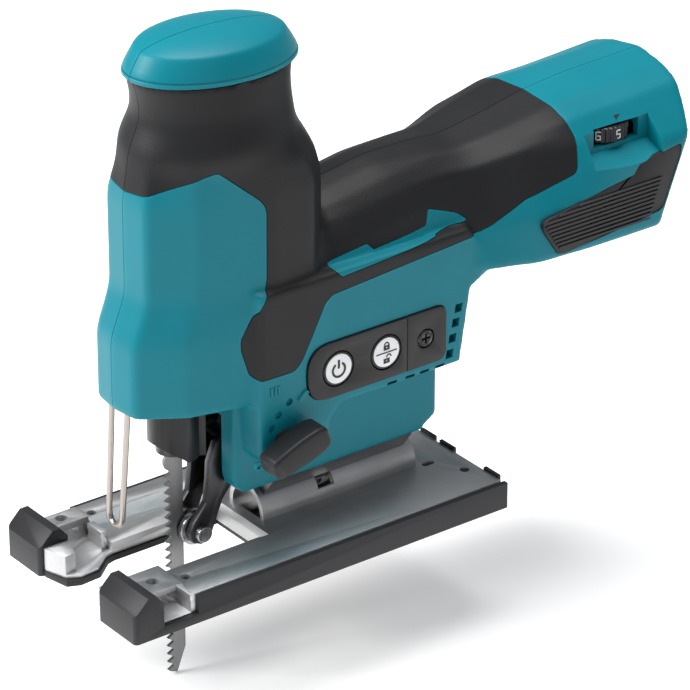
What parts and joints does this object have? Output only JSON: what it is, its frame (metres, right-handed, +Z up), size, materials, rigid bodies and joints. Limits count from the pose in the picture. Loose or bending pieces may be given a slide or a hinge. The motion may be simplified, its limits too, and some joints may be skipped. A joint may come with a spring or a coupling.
{
  "type": "cordless jigsaw",
  "caption": "Barrel-grip battery jigsaw with reciprocating plunger and blade, tilting slotted base, guide roller, orbital lever, key pad and speed wheel.",
  "frame": {"origin": "on the underside of the sole, under the blade's axis, on the tool's middle plane", "axes": "+X forward, the cutting direction; +Y to the tool's left, the side with the key pad; +Z up along the blade and plunger"},
  "size_m": [0.2454, 0.0793, 0.2372],
  "materials": {
    "teal_plastic": "fine moulded grain",
    "black_plastic": "fine moulded grain",
    "soft_grip": "matt, finely textured elastomer",
    "cast_alloy": "satin casting",
    "machined_steel": "ground",
    "black_steel": "blackened",
    "blade_steel": "rolled strip",
    "wire_steel": "bright wire",
    "bush_bronze": "sintered bronze",
    "board_green": "solder mask",
    "contact_brass": "bright",
    "copper_wire": "enamelled copper",
    "core_steel": "laminated core",
    "grey_plastic": "moulded"
  },
  "bodies": {
    "tool_body": {"housing_left": "teal_plastic", "housing_right": "teal_plastic", "grip_left": "soft_grip", "grip_right": "soft_grip", "inlay_left": "teal_plastic", "inlay_right": "teal_plastic", "head_cap": "teal_plastic", "rail_left": "black_plastic", "rail_right": "black_plastic", "battery_channel": "black_plastic", "terminal_block": "black_plastic", "terminals": "contact_brass", "switch_panel": "black_plastic", "switch_board": "board_green", "panel_screw": "black_steel", "housing_screws": "black_steel", "dial_shaft": "grey_plastic", "controller": "grey_plastic", "stator": "core_steel", "windings": "copper_wire", "front_bearing": "machined_steel", "rear_bearing": "machined_steel", "bearing_carrier": "grey_plastic", "gear_shaft": "machined_steel", "gear_frame": "cast_alloy", "upper_bush": "bush_bronze", "lower_bush": "bush_bronze", "arm_pivot_pin": "machined_steel", "tilt_saddle": "cast_alloy", "clamp_plate": "machined_steel", "base_bolt": "black_steel", "guard_wire": "wire_steel", "guide_block": "cast_alloy", "nose_plate": "cast_alloy"},
    "plunger_unit": {"plunger": "machined_steel", "yoke": "machined_steel", "yoke_roller": "machined_steel", "blade_clamp": "black_steel", "clamp_spring": "machined_steel", "blade": "blade_steel"},
    "clamp_collar": {"clamp_sleeve": "black_plastic"},
    "motor": {"motor_shaft": "machined_steel", "rotor": "core_steel", "magnets": "machined_steel", "fan": "grey_plastic"},
    "crank": {"crank_gear": "machined_steel", "crank_pin": "machined_steel"},
    "guide_arm": {"roller_arm": "cast_alloy", "roller_pin": "machined_steel"},
    "guide_roller": {"blade_roller": "machined_steel"},
    "orbital_selector": {"orbital_lever": "black_plastic", "orbital_shaft": "machined_steel"},
    "base": {"base_plate": "cast_alloy", "sole_cover": "black_plastic"},
    "dial": {"speed_dial": "black_plastic"},
    "power_key": {"power_button": "black_plastic"},
    "lock_key": {"lock_button": "black_plastic"}
  },
  "joints": [
    {"name": "plunger_slide", "type": "slide", "parent": "tool_body", "child": "plunger_unit", "axis": [0, 0, 1], "range_m": [0, 0.023]},
    {"name": "clamp_turn", "type": "hinge", "parent": "plunger_unit", "child": "clamp_collar", "pos_m": [0, 0, 0.055], "axis": [0, 0, 1], "range_deg": [0, 60], "stiffness_Nm_per_rad": 0.05},
    {"name": "motor_spin", "type": "hinge", "parent": "tool_body", "child": "motor", "pos_m": [-0.06, 0, 0.0996], "axis": [1, 0, 0], "continuous": true},
    {"name": "crank_spin", "type": "hinge", "parent": "tool_body", "child": "crank", "pos_m": [-0.02, 0, 0.122], "axis": [1, 0, 0], "continuous": true},
    {"name": "guide_arm_swing", "type": "hinge", "parent": "tool_body", "child": "guide_arm", "pos_m": [-0.018, 0, 0.0345], "axis": [0, 1, 0], "range_deg": [0, 6]},
    {"name": "guide_roller_spin", "type": "hinge", "parent": "guide_arm", "child": "guide_roller", "pos_m": [-0.0063, 0, 0.012], "axis": [0, 1, 0], "continuous": true},
    {"name": "orbital_select", "type": "hinge", "parent": "tool_body", "child": "orbital_selector", "pos_m": [-0.025, 0, 0.051], "axis": [0, -1, 0], "range_deg": [0, 93]},
    {"name": "base_tilt", "type": "hinge", "parent": "tool_body", "child": "base", "pos_m": [0, 0, 0.011], "axis": [1, 0, 0], "range_deg": [-45, 45]},
    {"name": "speed_dial_turn", "type": "hinge", "parent": "tool_body", "child": "dial", "pos_m": [-0.1675, 0.0205, 0.124], "axis": [0, 0, 1], "range_deg": [-240, 60]},
    {"name": "power_press", "type": "slide", "parent": "tool_body", "child": "power_key", "axis": [0, -1, 0], "range_m": [0, 0.0008], "stiffness_N_per_m": 1500, "springref_m": -0.0004},
    {"name": "lock_press", "type": "slide", "parent": "tool_body", "child": "lock_key", "axis": [0, -1, 0], "range_m": [0, 0.0008], "stiffness_N_per_m": 1500, "springref_m": -0.0004}
  ],
  "couplings": [
    {"joint": "crank_spin", "follows": "motor_spin", "ratio": -0.27273}
  ]
}
